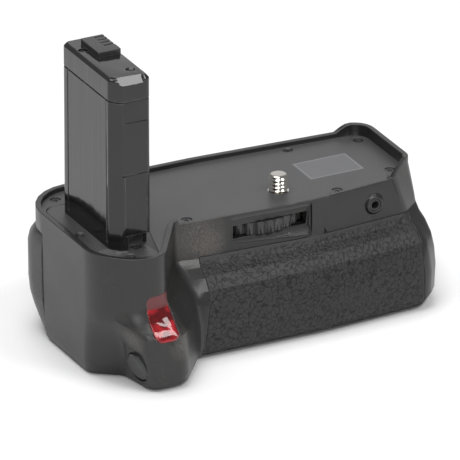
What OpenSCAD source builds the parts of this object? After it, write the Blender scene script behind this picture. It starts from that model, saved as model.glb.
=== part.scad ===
// Battery grip for a small single-lens reflex camera, in millimetres.
// The origin is where the camera screw's axis meets the camera seat.
// X runs along the body away from the hand-grip lobe, Y runs to the back, Z runs up.

/* [Body] */
// Screw axis to the lobe end
body_left = 76.5; // [75.5:0.5:79]
// Screw axis to the far end, at the seat
body_right = 45.8; // [44.2:0.4:48.2]
// Screw axis to the back face
body_back = 32; // [31.5:0.5:34]
// Seat to base
body_height = 42.6; // [42:0.2:44]
// Screw axis to the middle of the front face
front_face = 12.4; // [12:0.2:13]
// Screw axis to the bulge of the rubber
grip_front = 23.2; // [22.5:0.5:25]
// Screw axis to the lobe's nose, above the swell
lobe_front = 31.3; // [30.5:0.4:33]
// Screw axis to the front of the swell
swell_front = 38.4; // [37:0.5:40]
// Housing wall
wall = 2.2; // [1.9:0.1:2.4]
// Base thickness
floor_t = 1.4; // [1.2:0.1:1.5]
// Depth of the seam above the rubber
seam_depth = 12.6; // [12.4:0.2:13]
// Rubber thickness
rubber_t = 1.6; // [1.2:0.1:1.8]

/* [Seat] */
// Seat plate thickness
seat_t = 2; // [1.8:0.1:2.1]
// Rim width around the seat
rim_w = 1.8; // [1.6:0.1:2]
// Rim height above the seat
rim_h = 1.5; // [0.8:0.1:2]
// Rim height at the far end
end_rim_h = 3.8; // [3:0.2:6]

/* [Tower] */
// Tower thickness
tower_w = 13.2; // [12.8:0.2:14]
// Tower length, front to back
tower_l = 36.2; // [35:0.2:38]
// Top of the tower cap above the seat
tower_h = 58.6; // [54:0.5:62]
// Cap height
cap_h = 8.2; // [7:0.2:10]
// Tower wall
tower_wall = 1.6; // [1.4:0.1:2]

/* [Wheel and camera screw] */
// Thumb wheel radius over its ribs
wheel_r = 18.5; // [17.5:0.25:18.5]
// Thumb wheel thickness
wheel_t = 3.8; // [3.2:0.1:4]
// Ribs around the wheel
wheel_ribs = 32; // [24:1:40]
// Teeth of the wheel gear and of the screw pinion
gear_teeth = 18; // [17:1:20]
// Gear module
gear_module = 0.6; // [0.58:0.01:0.62]
// Camera screw radius, one quarter inch thread
screw_r = 3.175; // [3.175:0.001:3.18]
// Camera screw height above the seat
screw_h = 5.6; // [4.5:0.1:6]

/* [Shutter button] */
// Button radius
button_r = 4.9; // [4.5:0.1:5]
// Button travel
button_travel = 1.2; // [0.6:0.1:1.2]

/* [Battery tray] */
// Cell length, width and thickness
cell = [53, 38, 14]; // [10:1:60]
// Right edge of the tray cover
cover_right = 1; // [0:0.5:2]
// How far the cover stands proud of the housing
cover_proud = 1.1; // [0.8:0.1:1.4]
// Gap around the tray cover
cover_gap = 0.3; // [0.25:0.05:0.4]

/* [Hidden] */
$fn = 64;
eps = 0.01;
slide_gap = 0.25;
run_gap = 0.05;

seam = -seam_depth;
base = -body_height;
floor_top = base + floor_t;
end_low = body_right + 4.1;
lobe_end = -body_left;
split_top = lobe_end + 43.1;
split_low = lobe_end + 37.7;
rubber_right = body_right - 3.8;
split_y = 14.8;
cover_top = -6;

// Outline of the body in plan, as corners [x, y, radius] that move with depth
function unit(v) = v / norm(v);
function mix(z, a, b) = a[1] + (b[1] - a[1]) * (z - a[0]) / (b[0] - a[0]);
function at(z, k, i = 0) = z >= k[0][0] ? k[0][1]
    : i >= len(k) - 1 ? k[len(k) - 1][1]
    : z >= k[i + 1][0] ? mix(z, k[i], k[i + 1]) : at(z, k, i + 1);

function front_y(z) = at(z, [[seam, 0], [seam - 2.4, 0.16], [seam - 4.2, 0.48], [-20, 0.75],
    [-24, 0.9], [-30, 0.98], [base + 5, 1], [base + 1.5, 0.87], [base, 0.64]]);
function front_left(z) = -(front_face - 2.6) - front_y(z) * (grip_front - front_face + 2.6);
function front_mid_y(z) = -front_face - front_y(z) * (grip_front - front_face);
function front_right_y(z) = -(front_face - 3) - front_y(z) * (grip_front - front_face + 0.6);
function end_x(z) = at(z, [[0, body_right], [-10, body_right + 2.3], [-20, end_low - 0.5],
    [-28, end_low], [base + 5, end_low - 0.6], [base, end_low - 3]]);
function left_x(z) = -at(z, [[0, body_left], [-24, body_left - 0.3], [base + 5, body_left - 0.8],
    [base + 1.5, body_left - 1.3], [base, body_left - 2.2]]);
function nose_y(z) = -at(z, [[-16.5, lobe_front], [-24, swell_front - 0.2], [base + 5, swell_front],
    [base + 1.5, swell_front - 1.2], [base, swell_front - 3.4]]);
function nose_left_y(z) = -at(z, [[-19.6, lobe_front], [-22, swell_front - 2.6], [-24, swell_front - 0.5],
    [base + 5, swell_front], [base + 1.5, swell_front - 1.2], [base, swell_front - 3.4]]);
function back_y(z) = at(z, [[base + 5, body_back], [base + 1.5, body_back - 0.6], [base, body_back - 2]]);

function corner_front_right(z) = [end_x(z) - at(z, [[0, 9.7], [-20, 6.2], [base, 5.2]]),
    front_right_y(z), 6];
function corner_end_front(z) = [end_x(z), front_right_y(z) + at(z, [[0, 6.5], [-20, 6.5], [base, 7]]), 5];
function corner_end_back(z) = [end_x(z) - at(z, [[0, 0], [-24, 1.4]]), back_y(z) - 3.4, 7];
function corner_back(z) = [-15, back_y(z), 90];
function corner_back_left(z) = [left_x(z), back_y(z), 16.5];
function corner_lobe_left(z) = at(z, [[-20, [left_x(z), -20.8, 15]], [-24, [left_x(z), -18.5, 9]],
    [-30, [left_x(z), -16.6, 6]], [base + 1.5, [left_x(z), -15.2, 5]], [base, [left_x(z), -14, 5]]]);
function scoop(x, y, r) = [lobe_end + x, y, r];
function corner_scoop(z) = at(z, [[-20, scoop(5.2, -26.2, 20)], [-24, scoop(6.3, -25, 8)],
    [-30, scoop(8.7, -23.6, 5)], [base + 1.5, scoop(10.5, -22.2, 5)], [base, scoop(11.1, -20.8, 5)]]);
function corner_nose(z) = [lobe_end + at(z, [[-16.5, 10.5], [-24, 10.9], [-30, 11.7], [base, 13.7]]),
    nose_left_y(z), at(z, [[-16.5, 13.5], [-24, 7], [-30, 4.5], [base, 4]])];
function lobe_right_x(z) = at(z, [[-16.5, 20.7], [-24, 24], [base + 1.5, 24.9], [base, 23.5]]);
function corner_lobe_right(z) = [lobe_end + lobe_right_x(z), nose_y(z),
    at(z, [[-16.5, 7.2], [-24, 7], [base + 1.5, 6], [base, 5]])];
function corner_throat(z) = [lobe_end + at(z, [[seam, 34.5], [-20, 36.5], [-30, 37.3]]), front_left(z), 3.5];
function corner_front(z) = [6, front_mid_y(z), 80];
function corners(z) = [corner_front_right(z), corner_end_front(z), corner_end_back(z), corner_back(z),
    corner_back_left(z), corner_lobe_left(z), corner_scoop(z), corner_nose(z), corner_lobe_right(z),
    corner_throat(z), corner_front(z)];

// Rounds one corner of a polygon with arc points
function arc(a, b, c, n) = let (
        p = [b.x, b.y], u = unit([a.x, a.y] - p), v = unit([c.x, c.y] - p),
        half = acos(max(-1, min(1, u * v))) / 2, s = norm(u + v))
    s < 1e-4 ? [for (i = [0:n]) p + (u * (n - 2 * i) / n) * 0.4]
    : let (o = p + unit(u + v) * b[2] / sin(half),
        q0 = p + u * b[2] / tan(half) - o, q1 = p + v * b[2] / tan(half) - o,
        a0 = atan2(q0.y, q0.x), turn = (atan2(q1.y, q1.x) - a0 + 540) % 360 - 180)
    [for (i = [0:n]) o + b[2] * [cos(a0 + turn * i / n), sin(a0 + turn * i / n)]];
function rounded(k, n) = [for (i = [0:len(k) - 1])
    each arc(k[(i + len(k) - 1) % len(k)], k[i], k[(i + 1) % len(k)], n)];
function outline(z) = rounded(corners(z), 6);
function inset(pts, t) = let (n = len(pts)) [for (i = [0:n - 1])
    let (d = unit(pts[(i + 1) % n] - pts[(i + n - 1) % n])) pts[i] + t * [-d.y, d.x]];

// Solid through a stack of rings listed from the top down, capped from a point inside all of them
module stack(rings, inner) {
    n = len(rings[0]);
    m = len(rings);
    hub = [[inner.x, inner.y, rings[0][0].z], [inner.x, inner.y, rings[m - 1][0].z]];
    sides = [for (k = [0:m - 2], i = [0:n - 1]) let (j = (i + 1) % n, a = k * n, b = a + n)
        each [[a + i, a + j, b + j], [a + i, b + j, b + i]]];
    caps = [for (i = [0:n - 1]) let (j = (i + 1) % n, b = (m - 1) * n)
        each [[m * n, j, i], [m * n + 1, b + i, b + j]]];
    polyhedron(concat([for (r = rings) each r], hub), concat(sides, caps));
}
// Solid through the body's outlines at the given depths, each moved in by t
module loft(depths, t) {
    stack([for (z = depths) [for (p = inset(outline(z), t)) [p.x, p.y, z]]], [-46, 4]);
}

body_depths = [rim_h, -9, seam, seam - 2.4, seam - 4.2, -20, -22, -24, -30, base + 5,
    base + 1.5, base];
cavity_depths = [-seat_t - 1.5, seam, seam - 2.4, seam - 4.2, -20, -22, -24, -30, base + 5,
    floor_top];

module box(lo, hi) {
    translate(lo) cube(hi - lo);
}

// Outline of the tray cover, prouder and squarer than the body and drawn in at its foot
function cover_corner(z) = at(z, [[cover_top, [1.1, 1.6, 16.2]], [cover_top - 1.4, [0.6, 0.9, 14.6]],
    [cover_top - 3.4, [0.2, 0.3, 13]], [cover_top - 6.4, [0, 0, 12.2]],
    [-24, [0.1, 0, 12.2]], [-29, [0.3, 0.4, 12.6]], [-32.6, [0.8, 0.9, 13.4]],
    [base + 5.8, [1.5, 2, 14.6]], [base, [2.9, 4, 15.6]]]);
function cover_outline(z, t) = let (c = cover_corner(z), x = -body_left - cover_proud + c[0] + t,
        y = body_back + cover_proud + 0.5 - c[1] - t)
    rounded([[60, -60, 1], [60, y - 4.4, 1], [-12, y, 90], [x, y, c[2] - t], [x + 5.4, -60, 1]], 8);
module cover_form(depths, t) {
    rings = [for (z = depths) [for (p = cover_outline(z, t)) [p.x, p.y, z]]];
    stack(rings, [0, 0]);
}
cover_depths = [cover_top, cover_top - 1.4, cover_top - 3.4, cover_top - 6.4, -24, -29, -32.6,
    base + 5.8, base];
module cover_zone(gap, top) {
    box([-90, split_y - gap, base - 1], [cover_right + gap, 60, top + gap]);
}
cover_wall = 1.9;
module cover_inside(gap) {
    cover_form(concat(cover_depths, [base - 2]), cover_wall + gap);
}

// The seam between the lobe and the rubber leans to the lobe as it goes down
function split_x(z) = split_top + (split_low - split_top) * (seam - z) / (seam - base);
module across(front, back) {
    translate([0, back, 0])
        rotate([90, 0, 0])
            linear_extrude(back - front)
                children();
}
module right_of_split(low, high, right) {
    polygon([[split_x(high), high], [right, high], [right, low], [split_x(low), low]]);
}
module left_of_split(low, high) {
    polygon([[split_x(high), high], [-90, high], [-90, low], [split_x(low), low]]);
}

// Positions used by more than one piece
plate_screws = [[lobe_end + 10, 25.2], [lobe_end + 40.3, -7.2],
    [16.6, -8.6], [38.9, -2.2], [40.4, 22.6], [16.7, 26]];
boss_at = [[39.6, 14], [35.6, -1], [14.8, -4], [14.8, 23]];
tower_x = lobe_end + 14.9;
tower_y = -1.8;
mesh_angle = 141;
wheel_at = gear_module * gear_teeth * [cos(mesh_angle), sin(mesh_angle)];
wheel_top = -4.6;
wheel_low = wheel_top - wheel_t;
slot_x = [-22, 5.4];
jack_at = [29, -6.9];
window_x = [lobe_end + 14.1, lobe_end + 22.3];
window_z = [-25.4, -12];

button_at = [lobe_end + 11.2, -30.6, base + 7.2];
button_dir = unit([-0.92, -0.2, -0.33]);
module at_button() {
    translate(button_at)
        rotate([0, acos(button_dir.z), atan2(button_dir.y, button_dir.x)])
            children();
}
guide_low = -7;
shoulder = -2.8;

// Deck frame, lobe and front face, one moulding
module upper_housing() {
    color("#2b2c2e")
    difference() {
        union() {
            difference() {
                loft(body_depths, 0);
                across(-60, 60) right_of_split(base - 1, seam, 80);
                box([-90, split_y, base - 1], [split_top + eps, 60, cover_top]);
                difference() {
                    cover_zone(cover_gap, cover_top);
                    box([-90, -60, cover_top + cover_gap], [80, 60, 20]);
                }
                loft(cavity_depths, wall);
            }
            end_rim();
            wheel_block();
            upper_bosses();
            button_guide();
        }
        seat_pocket();
        front_edge_cut();
        wheel_pocket();
        wheel_slot();
        jack_hole();
        window_hole();
        button_bore();
        screw_holes();
    }
}
rise = [for (i = [0:6]) [30.6 + 9.6 * i / 6, end_rim_h * (1 - cos(30 * i)) / 2]];
module end_rim() {
    intersection() {
        translate([0, 0, -1])
            linear_extrude(end_rim_h + 1)
                polygon(outline(0));
        box([20, -30, -1], [80, 60, end_rim_h]);
        translate([0, 60, 0])
            rotate([90, 0, 0])
                linear_extrude(120)
                    polygon(concat([[30.6, -2]], rise, [[60, end_rim_h], [60, -2]]));
    }
}
module seat_form(low, high) {
    translate([0, 0, low])
        linear_extrude(high - low)
            polygon(inset(outline(0), rim_w));
    intersection() {
        translate([0, 0, low])
            linear_extrude(high - low)
                polygon(inset(outline(0), 0.7));
        box([lobe_end + 37, -30, low], [34.5, -4, high]);
    }
}
module seat_pocket() {
    seat_form(-seat_t, 18);
    box([lobe_end + 44.5, -6.8, -4], [36, 23.4, 10]);
    box([tower_x - 5.4, -17, -4], [tower_x + 3.6, 13, 10]);
}
module front_edge_cut() {
    box([lobe_end + 36, -20, 0], [36, -3, 10]);
    translate([0, 3, 0])
        rotate([90, 0, 0])
            linear_extrude(40)
                polygon([[30, 0], [36, 0], [43.4, end_rim_h], [43.4, 20], [30, 20]]);
}
module wheel_block() {
    box([slot_x[0] - 2, -10.4, -11.4], [slot_x[1] + 2, -7.4, -seat_t - 0.4]);
}
module wheel_pocket() {
    translate([slot_x[0] - 0.4, 0, 0])
        rotate([90, 0, 90])
            linear_extrude(slot_x[1] - slot_x[0] + 0.8)
                polygon([[-10.2, -0.8], [-20, -0.8], [-20, -16], [-12.6, -12.3], [-10.2, wheel_low - 0.6]]);
}
module wheel_slot() {
    box([slot_x[0] + 0.6, -14, wheel_low - 0.3], [slot_x[1] - 0.6, -5, wheel_top + 0.35]);
    translate([wheel_at.x, wheel_at.y, wheel_low - 0.3])
        cylinder(h = wheel_t + 0.65, r = wheel_r + 0.5);
}
module jack_hole() {
    translate([jack_at.x, 0, jack_at.y])
        rotate([90, 0, 0])
            cylinder(h = 30, r = 3.5);
}
module window_hole() {
    across(-60, -22)
        polygon(rounded([[window_x[0], window_z[0], 2.2], [window_x[1], window_z[0], 2.2],
            [window_x[1], window_z[1], 1], [window_x[0], window_z[1], 2]], 4));
}
module button_guide() {
    intersection() {
        at_button() translate([0, 0, guide_low]) cylinder(h = 8, r = button_r + 2.6);
        loft([-20, -22, -24, -30, base + 5, base + 1.5, base], 0.1);
    }
}
module button_bore() {
    at_button() translate([0, 0, shoulder - 1]) cylinder(h = 12, r = button_r + 0.15);
    at_button() translate([0, 0, guide_low - 8]) cylinder(h = shoulder - guide_low + 8, r = button_r + 1.35);
}
module upper_bosses() {
    for (p = boss_at)
        translate([p.x, p.y, base + 6]) cylinder(h = body_height - 6 - seat_t, r = 3);
    for (p = plate_screws)
        translate([p.x, p.y, -5.4]) cylinder(h = 3.2, r = 1.9);
    box([window_x[0] - 3.6, -24.6, -8], [window_x[1] - 1.8, -22.2, -seat_t - 0.5]);
    translate([base_screws[4].x, base_screws[4].y, -5.4]) cylinder(h = 3.2, r = 1.9);
}
module screw_holes() {
    for (p = plate_screws)
        translate([p.x, p.y, -5]) cylinder(h = 10, r = 0.95);
    for (p = boss_at)
        translate([p.x, p.y, base - 1]) cylinder(h = 16, r = 1.15);
    for (p = base_screws)
        translate([p.x, p.y, -4.6]) cylinder(h = 10, r = 0.95);
}

// Base, back, far end and the backing of the rubber, one moulding
module rubber_zone() {
    across(-60, -8.6) right_of_split(base + 1.6, seam, rubber_right);
}
module lower_housing() {
    color("#2a2b2d")
    difference() {
        union() {
            difference() {
                loft(body_depths, 0);
                box([-90, -60, seam], [80, 60, 20]);
                across(-60, split_y) left_of_split(base - 1, 20);
                difference() {
                    rubber_zone();
                    loft(body_depths, rubber_t);
                }
                difference() {
                    cover_zone(cover_gap, cover_top);
                    cover_inside(cover_gap);
                }
                box([-90, split_y - eps, floor_top], [cover_right + cover_gap, 60, 20]);
                loft(cavity_depths, wall + rubber_t);
                intersection() {
                    loft(cavity_depths, wall);
                    box([split_low, -5, base], [80, 60, 20]);
                }
            }
            for (p = boss_at)
                translate([p.x, p.y, base + 0.5]) cylinder(h = 5.5, r = 4);
            translate([0, 0, base + 0.5]) cylinder(h = 8.4, r = 8);
        }
        for (p = boss_at)
            translate([p.x, p.y, base - 1]) cylinder(h = 20, r = 1.4);
        for (p = boss_at)
            translate([p.x, p.y, base - 1]) cylinder(h = 3.6, r = 2.5);
        translate([0, 0, base - 1]) cylinder(h = 8.6, r = 5.5);
        translate([0, 0, base - 1]) cylinder(h = 2, r = 6.6);
    }
}
module grip_rubber() {
    color("#1b1b1c")
    difference() {
        intersection() {
            loft(body_depths, 0);
            rubber_zone();
        }
        loft(body_depths, rubber_t);
    }
}

// Camera seat
flange = [[tower_x - 11.8, 21, 4], [tower_x - 11.8, -14.6, 8], [tower_x - 5.4, -26, 8],
    [tower_x + 4, -27.6, 5], [tower_x + 6.6, -25.2, 3], [tower_x + 12, -6, 6], [tower_x + 12, 21, 4]];
module flange_shape(gap) {
    polygon(inset(rounded(flange, 6), -gap));
}
module seat_plate() {
    color("#3a3c40")
    difference() {
        union() {
            seat_form(-seat_t, 0);
            for (p = board_posts)
                translate([p.x, p.y, board_top]) cylinder(h = -board_top - 1, r = 1.6);
        }
        translate([0, 0, -seat_t - 1])
            linear_extrude(seat_t + 2)
                flange_shape(0);
        translate([0, 0, -seat_t - 1]) cylinder(h = seat_t + 2, r = journal_r + run_gap);
        for (p = plate_screws)
            translate([p.x, p.y, -seat_t - 1]) cylinder(h = 5, r = 1.15);
        for (p = plate_screws)
            translate([p.x, p.y, -1.1]) cylinder(h = 5, r = 1.75);
        box([label_lo.x, label_lo.y, -0.2], [label_hi.x, label_hi.y, 1]);
        translate([wheel_at.x, wheel_at.y, -seat_t - 1]) cylinder(h = 2.2, r = 1.3);
    }
}
module seat_plate_screws() {
    color("#8d9094")
    for (p = plate_screws)
        translate([p.x, p.y, 0]) small_screw(-1.1, 1.65, 3.6);
}
// Cross-recess screw with its seat at depth z
module small_screw(z, r, l) {
    difference() {
        union() {
            translate([0, 0, z]) cylinder(h = 0.8, r = r);
            translate([0, 0, z - l]) cylinder(h = l + 0.1, r = 0.9);
        }
        translate([-r * 0.6, -r * 0.15, z + 0.35]) cube([r * 1.2, r * 0.3, 2]);
        translate([-r * 0.15, -r * 0.6, z + 0.35]) cube([r * 0.3, r * 1.2, 2]);
    }
}
label_lo = [12.7, 2.1];
label_hi = [32.2, 15.8];
module seat_label() {
    color("#6a6d72")
    box([label_lo.x, label_lo.y, -0.2], [label_hi.x, label_hi.y, -0.04]);
}

// Battery tower
tower_chamfer = [2.8, 3.6];
tower_round = 1.7;
module tower_shape(t) {
    w = tower_w / 2 - t;
    l = tower_l / 2 - t;
    cx = tower_chamfer.x - t * 0.5;
    cy = tower_chamfer.y - t * 0.5;
    r = max(0.4, tower_round - t * 0.75);
    polygon(rounded([[-w, -l + cy, r], [-w + cx, -l, r], [w, -l, r], [w, l, r], [-w, l, r]], 4));
}
cap_low = tower_h - cap_h;
base_screws = [[tower_x - 9.9, -2.3], [tower_x - 2.8, -24], [tower_x + 9.2, 6], [tower_x - 0.9, 19],
    [tower_x + 2, tower_y - tower_l / 2 + 1.5]];
module at_tower(z) {
    translate([tower_x, tower_y, z]) children();
}
module tower_base() {
    color("#2e2f32")
    difference() {
        union() {
            translate([0, 0, -seat_t])
                linear_extrude(seat_t)
                    flange_shape(-0.15);
            difference() {
                at_tower(-seat_t) linear_extrude(seat_t + 7) tower_shape(tower_wall + 0.1);
                difference() {
                    at_tower(-seat_t - 1) linear_extrude(40) tower_shape(tower_wall + 1.4);
                    at_tower(-seat_t - 1) translate([-2.8, -tower_l / 2, 0]) cube([20, 4.8, seat_t + 6.8]);
                }
            }
        }
        at_tower(-seat_t - 1)
            linear_extrude(seat_t + 2)
                difference() {
                    tower_shape(tower_wall + 1.4);
                    translate([-2.8, -tower_l / 2 - 1]) square([20, 5.8]);
                }
        foot_recess();
        for (p = base_screws)
            translate([p.x, p.y, -seat_t - 1]) cylinder(h = 5, r = 1.15);
        for (p = base_screws)
            translate([p.x, p.y, -1.1]) cylinder(h = 5, r = 1.75);
    }
}
module foot_recess() {
    at_tower(0) translate([-1.4, -tower_l / 2 - 1, 0]) cube([20, 4.4, 4.6]);
}
module tower_base_screws() {
    color("#8d9094")
    for (p = base_screws)
        translate([p.x, p.y, 0]) small_screw(-1.1, 1.65, 3.2);
}
module tower_shell() {
    color("#0b0b0c")
    difference() {
        at_tower(0) linear_extrude(cap_low) tower_shape(0);
        at_tower(-1) linear_extrude(cap_low + 2) tower_shape(tower_wall);
        at_tower(0) translate([-tower_w / 2 - 1, tower_l / 2 - 4.4, 2]) cube([1.4, 0.7, cap_low]);
        at_tower(0) translate([-tower_w / 2 - 1, -tower_l / 2 + 4.6, 2]) cube([1.4, 0.7, cap_low]);
        at_tower(cap_low / 2) translate([-3.4, -tower_l / 2 - 1, 0]) cube([20, 1.5, 0.5]);
        foot_recess();
    }
}
module tower_cap() {
    color("#0d0d0e")
    difference() {
        union() {
            at_tower(cap_low) linear_extrude(0.5) tower_shape(0.35);
            at_tower(cap_low + 0.4) linear_extrude(cap_h - 1.6) tower_shape(0);
            hull() {
                at_tower(tower_h - 1.3) linear_extrude(0.1) tower_shape(0);
                at_tower(tower_h - 0.1) linear_extrude(0.1) tower_shape(1);
            }
            at_tower(cap_low - 4) linear_extrude(4.2) tower_shape(tower_wall + 0.1);
        }
        at_tower(cap_low - 5) linear_extrude(cap_h + 3) tower_shape(tower_wall + 1.2);
        at_tower(tower_h)
            translate([-4.2, -tower_l / 2, 0])
                rotate([45, 0, 0])
                    translate([0, -1.6, -1.6]) cube([8.4, 3.2, 3.2]);
        for (p = cap_screws)
            at_tower(0) translate([p.x, p.y, tower_h - 1.4]) cylinder(h = 5, r = cap_screw_r + 0.1);
        for (p = cap_screws)
            at_tower(0) translate([p.x, p.y, cap_low]) cylinder(h = 20, r = 1.1);
        at_tower(0) translate([block_lo.x, block_lo.y, tower_h - 1.2])
            cube([block_hi.x - block_lo.x, block_hi.y - block_lo.y, 5]);
        at_tower(cap_low - 5) translate([block_lo.x + 3, block_lo.y + 3.6, 0]) cube([4, 9, cap_h + 0.6]);
        for (i = [0:3])
            at_tower(0) translate([blade_x - 0.4, slot_at(i) - 0.35, cap_low]) cube([3.6, 0.7, 20]);
    }
}
block_hi = [tower_w / 2 - 0.9, 13.7];
block_lo = [-tower_w / 6, 0.9];
cap_screw_r = 1.5;
cap_screws = [[block_lo.x - cap_screw_r - 0.3, 8.4], [2.6, -11.6]];
block_top = tower_h + 1.7;
blade_x = block_hi.x - 3.2;
function slot_at(i) = block_lo.y + 4.8 + i * 2.2;
module tower_cap_screws() {
    color("#55585c")
    for (p = cap_screws)
        at_tower(0) translate([p.x, p.y, 0]) small_screw(tower_h - 1.4, cap_screw_r, 4);
}
module tower_contact_block() {
    color("#101011")
    difference() {
        at_tower(0) translate([block_lo.x, block_lo.y, tower_h - 1.2])
            cube([block_hi.x - block_lo.x, block_hi.y - block_lo.y, block_top - tower_h + 1.2]);
        for (i = [0:3])
            at_tower(0) translate([blade_x - 0.4, slot_at(i) - 0.35, tower_h - 2]) cube([9, 0.7, 10]);
    }
}
module tower_contacts() {
    color("#b8963e")
    for (i = [0:3])
        at_tower(0) translate([blade_x, slot_at(i) - 0.2, tower_h - 5]) cube([2.8, 0.4, 6]);
}
// Flat cable from the contacts to the main board
module tower_cable() {
    color("#a86a2c")
    union() {
        box([tower_x - 0.25, cable_y, board_top], [tower_x, cable_y + 5, tower_h - 6]);
        box([tower_x - 0.25, cable_y, board_top], [24, cable_y + 5, board_top + 0.25]);
        at_tower(tower_h - 6) translate([-0.25, cable_y - tower_y, -0.25]) cube([3.6, 10, 0.25]);
        at_tower(tower_h - 6) translate([block_lo.x + 3.2, block_lo.y + 3.9, -0.1]) cube([3.4, 8.4, 1.1]);
    }
}
cable_y = -0.6;

// Camera screw with its pinion, and the wheel that turns it
pinion_t = 1.7;
gear_low = wheel_top + 0.35;
function involute(rb, t) = rb * [cos(t) + t * PI / 180 * sin(t), sin(t) - t * PI / 180 * cos(t)];
function spin(p, a) = [p.x * cos(a) - p.y * sin(a), p.x * sin(a) + p.y * cos(a)];
module gear_shape(turn) {
    r = gear_module * gear_teeth / 2;
    rb = r * cos(20);
    ra = r + 0.9 * gear_module;
    rf = r - 1.2 * gear_module;
    t_max = sqrt(pow(ra / rb, 2) - 1) * 180 / PI;
    t_pitch = sqrt(pow(r / rb, 2) - 1) * 180 / PI;
    phi = atan2(involute(rb, t_pitch).y, involute(rb, t_pitch).x);
    lean = 90 / gear_teeth - 0.09 / r * 180 / PI / 2 + phi;
    flank = [for (i = [0:6]) spin(involute(rb, t_max * i / 6), -lean)];
    tooth = concat([[rf, 0] * cos(lean) + [0, -rf * sin(lean)]], flank,
        [for (i = [6:-1:0]) [flank[i].x, -flank[i].y]], [[rf * cos(lean), rf * sin(lean)]]);
    polygon([for (k = [0:gear_teeth - 1], p = tooth) spin(p, turn + 360 * k / gear_teeth)]);
}
journal_r = screw_r + 0.25;
module camera_screw() {
    color("#c9ccd0")
    union() {
        translate([0, 0, -seat_t - 0.2]) cylinder(h = seat_t + 0.2, r = journal_r);
        translate([0, 0, -eps]) cylinder(h = screw_h - 0.6 + eps, r = screw_r);
        translate([0, 0, screw_h - 0.6 - eps]) cylinder(h = 0.6 + eps, r1 = screw_r, r2 = screw_r - 0.6);
        translate([0, 0, gear_low]) cylinder(h = -seat_t - gear_low - 0.05, r = screw_r + 0.6);
        translate([0, 0, gear_low]) linear_extrude(pinion_t) gear_shape(mesh_angle);
    }
}
function rib_r(a) = wheel_r - 0.9 * pow(abs(sin(a * wheel_ribs / 2)), 6);
module thumb_wheel() {
    color("#1d1e20")
    translate([wheel_at.x, wheel_at.y, 0])
    difference() {
        union() {
            translate([0, 0, wheel_low])
                linear_extrude(wheel_t)
                    polygon([for (i = [0:wheel_ribs * 8 - 1]) let (a = i * 45 / wheel_ribs)
                        rib_r(a) * [cos(a), sin(a)]]);
            translate([0, 0, wheel_top - eps])
                linear_extrude(gear_low + pinion_t - wheel_top)
                    gear_shape(mesh_angle + 180 + 180 / gear_teeth);
        }
        translate([0, 0, wheel_low - 1]) cylinder(h = 20, r = axle_r + run_gap);
        translate([0, 0, wheel_low - 1])
            difference() {
                cylinder(h = 2.6, r = wheel_r - 2.6);
                translate([0, 0, -1]) cylinder(h = 5, r = 5.4);
            }
    }
}
axle_r = 2;
module wheel_axle() {
    color("#9b9ea3")
    translate([wheel_at.x, wheel_at.y, 0])
    difference() {
        union() {
            translate([0, 0, wheel_low - 1.6]) cylinder(h = 1.5, r = 3.6);
            translate([0, 0, wheel_low - 1]) cylinder(h = -seat_t - wheel_low + 1, r = axle_r);
            translate([0, 0, -seat_t - 0.1]) cylinder(h = 1.2, r = 1.25);
        }
        translate([-2.4, -0.35, wheel_low - 2]) cube([4.8, 0.7, 1]);
    }
}

// Remote jack
jack_face = -11.4;
module jack_bezel() {
    color("#2a2b2d")
    translate([jack_at.x, 0, jack_at.y])
        rotate([90, 0, 0])
            difference() {
                union() {
                    translate([0, 0, 7]) cylinder(h = 3.2, r = 3.5);
                    translate([0, 0, 10.1]) cylinder(h = -jack_face - 10.1, r1 = 3.5, r2 = 2.7);
                }
                cylinder(h = 30, r = 1.9);
            }
}
module jack_socket() {
    color("#6c6f74")
    translate([jack_at.x, 0, jack_at.y])
        rotate([90, 0, 0])
            difference() {
                union() {
                    translate([0, 0, 6]) cylinder(h = -jack_face - 6.3, r = 1.9);
                    translate([-3, -3.7, -4]) cube([6, 7, 10.4]);
                }
                translate([0, 0, -3]) cylinder(h = 30, r = 1.27);
            }
}
board_top = -10.6;
board_posts = [[22, 9.5], [30, 17.5], [21, -4.6]];
module main_board() {
    color("#2f5a3a")
    difference() {
        box([18.6, -6.8, board_top - 1.2], [32.2, 21, board_top]);
        translate([30.6, -5.2, -13]) cylinder(h = 4, r = 0.8);
    }
}

// Infrared window and diode
module ir_window() {
    color("#b3202a")
    difference() {
        intersection() {
            loft([-9, seam, seam - 2.4, seam - 4.2, -20, -22, -24, -30], 0);
            window_hole();
        }
        loft([-9, seam, seam - 2.4, seam - 4.2, -20, -22, -24, -30], wall - 0.3);
    }
}
module ir_diode() {
    color("#7d7f9a")
    translate([(window_x[0] + window_x[1]) / 2, -24, -16.6])
        rotate([90, 0, 0])
            union() {
                cylinder(h = 0.8, r = 1.9);
                cylinder(h = 3, r = 1.5);
                translate([0, 0, 3]) sphere(r = 1.5);
            }
}
module front_board() {
    color("#2f5a3a")
    box([window_x[0] - 4.6, -24, -24], [window_x[1] - 0.2, -22.8, -8]);
}

// Shutter button and its switch
module shutter_button() {
    color("#1a1b1c")
    at_button()
        union() {
            translate([0, 0, shoulder - 0.1]) cylinder(h = 0.4 - shoulder, r = button_r);
            translate([0, 0, 0.3 - eps]) cylinder(h = 0.5, r1 = button_r, r2 = button_r - 0.7);
            translate([0, 0, shoulder - 1.4]) cylinder(h = 1.35, r = button_r + 1);
        }
}
module button_switch() {
    color("#b9bcc0")
    at_button()
        union() {
            translate([-2.3, -2.3, guide_low]) cube([4.6, 4.6, 1]);
            translate([0, 0, guide_low + 0.9])
                cylinder(h = shoulder - 1.5 - button_travel - guide_low - 0.9, r = 1.2);
        }
}
module switch_plate() {
    color("#2f5a3a")
    at_button() translate([0, 0, guide_low - 1]) cylinder(h = 1, r = button_r + 2);
}

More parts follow.
